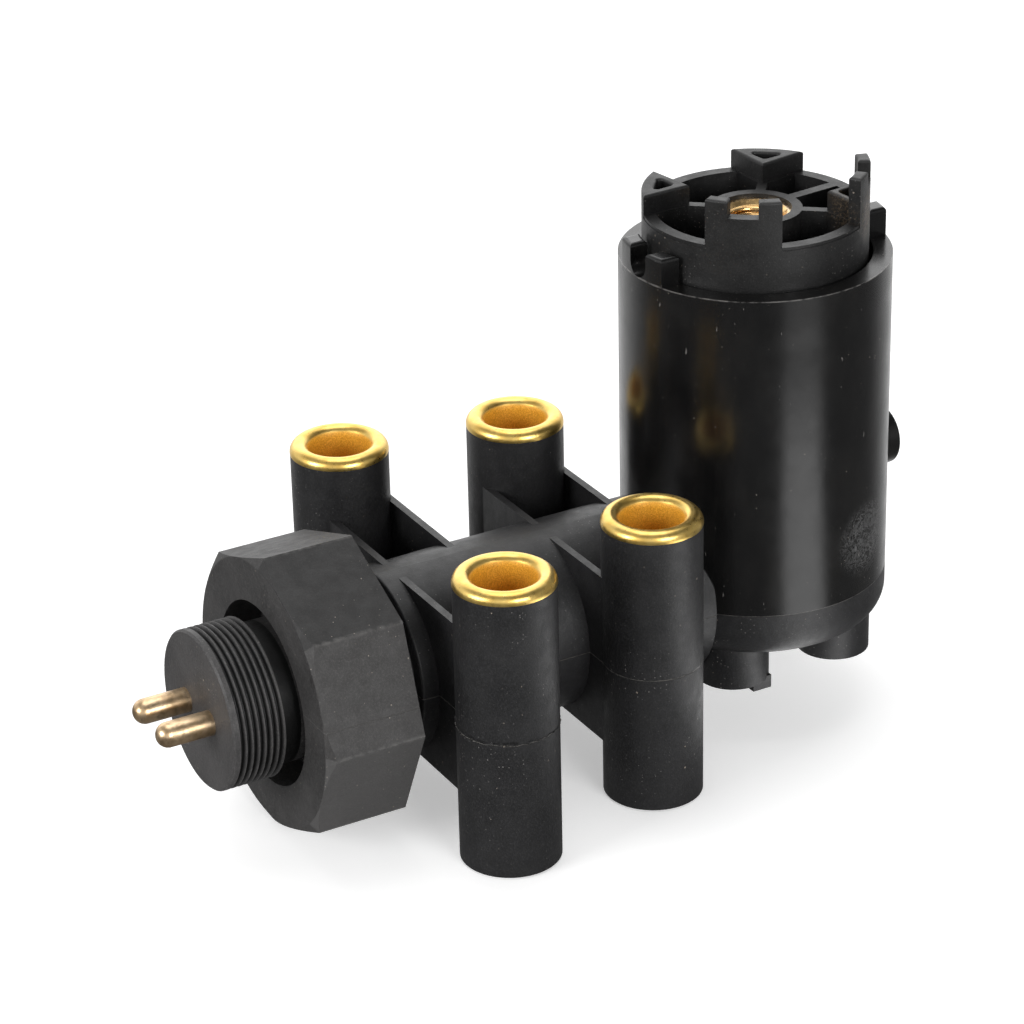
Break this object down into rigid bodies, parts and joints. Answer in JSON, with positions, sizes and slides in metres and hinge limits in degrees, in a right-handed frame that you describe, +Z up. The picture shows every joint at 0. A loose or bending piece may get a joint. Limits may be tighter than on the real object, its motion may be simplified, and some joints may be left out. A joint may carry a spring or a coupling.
{
  "type": "rotary level sensor",
  "caption": "Inductive rotary level sensor: a lever rotor in a round housing, a barrel with a threaded pin connector, and brass bushes for bolting it down.",
  "frame": {"origin": "centre of the bounding box at the plane of the bush ends", "axes": "+X along the barrel from the connector to the rotor, +Z up along the rotor axis"},
  "size_m": [0.1268, 0.066, 0.0867],
  "materials": {
    "housing_plastic": "fibre-filled, gloss above the parting line of the rotor housing, matte below",
    "nut_plastic": "moulded, matt",
    "plug_plastic": "turned face, matt",
    "rotor_plastic": "moulded, matt",
    "bush_brass": "rolled and polished",
    "insert_brass": "turned",
    "pin_bronze": "worn, dull",
    "seal_rubber": "matt",
    "copper_wire": "enamelled copper",
    "bobbin_plastic": "natural nylon",
    "bearing_bronze": "sintered",
    "inner_steel": "ground",
    "carrier_aluminium": "machined"
  },
  "bodies": {
    "base": {"bearing_bush": "bearing_bronze", "bearing_carrier": "carrier_aluminium", "bush_front_inner": "bush_brass", "bush_front_outer": "bush_brass", "bush_rear_inner": "bush_brass", "bush_rear_outer": "bush_brass", "carrier_retaining_ring": "inner_steel", "coil_bobbin": "bobbin_plastic", "coil_winding": "copper_wire", "connector_plug": "plug_plastic", "contact_pin_front": "pin_bronze", "contact_pin_rear": "pin_bronze", "flux_sleeve": "inner_steel", "guide_bush": "bearing_bronze", "housing": "housing_plastic", "lead_wire_front": "copper_wire", "lead_wire_rear": "copper_wire", "plug_o_ring": "seal_rubber", "retaining_nut": "nut_plastic", "shaft_seal": "seal_rubber", "thrust_washer": "bearing_bronze"},
    "turning": {"rotor": "rotor_plastic", "threaded_insert": "insert_brass", "rotor_shaft": "inner_steel", "shaft_circlip": "inner_steel", "crank_disc": "inner_steel", "crank_pin": "inner_steel"},
    "sliding": {"armature_core": "inner_steel", "armature_rod": "inner_steel", "drive_yoke": "bobbin_plastic"}
  },
  "joints": [
    {"name": "rotor_turn", "type": "hinge", "parent": "base", "child": "turning", "pos_m": [0.0392, 0, 0.06], "axis": [0, 0, 1], "range_deg": [-50, 50]},
    {"name": "armature_slide", "type": "slide", "parent": "base", "child": "sliding", "axis": [1, 0, 0], "range_m": [-0.00402, 0.00402]}
  ],
  "couplings": [
    {"joint": "armature_slide", "follows": "rotor_turn", "m_per_rad": 0.00455}
  ]
}
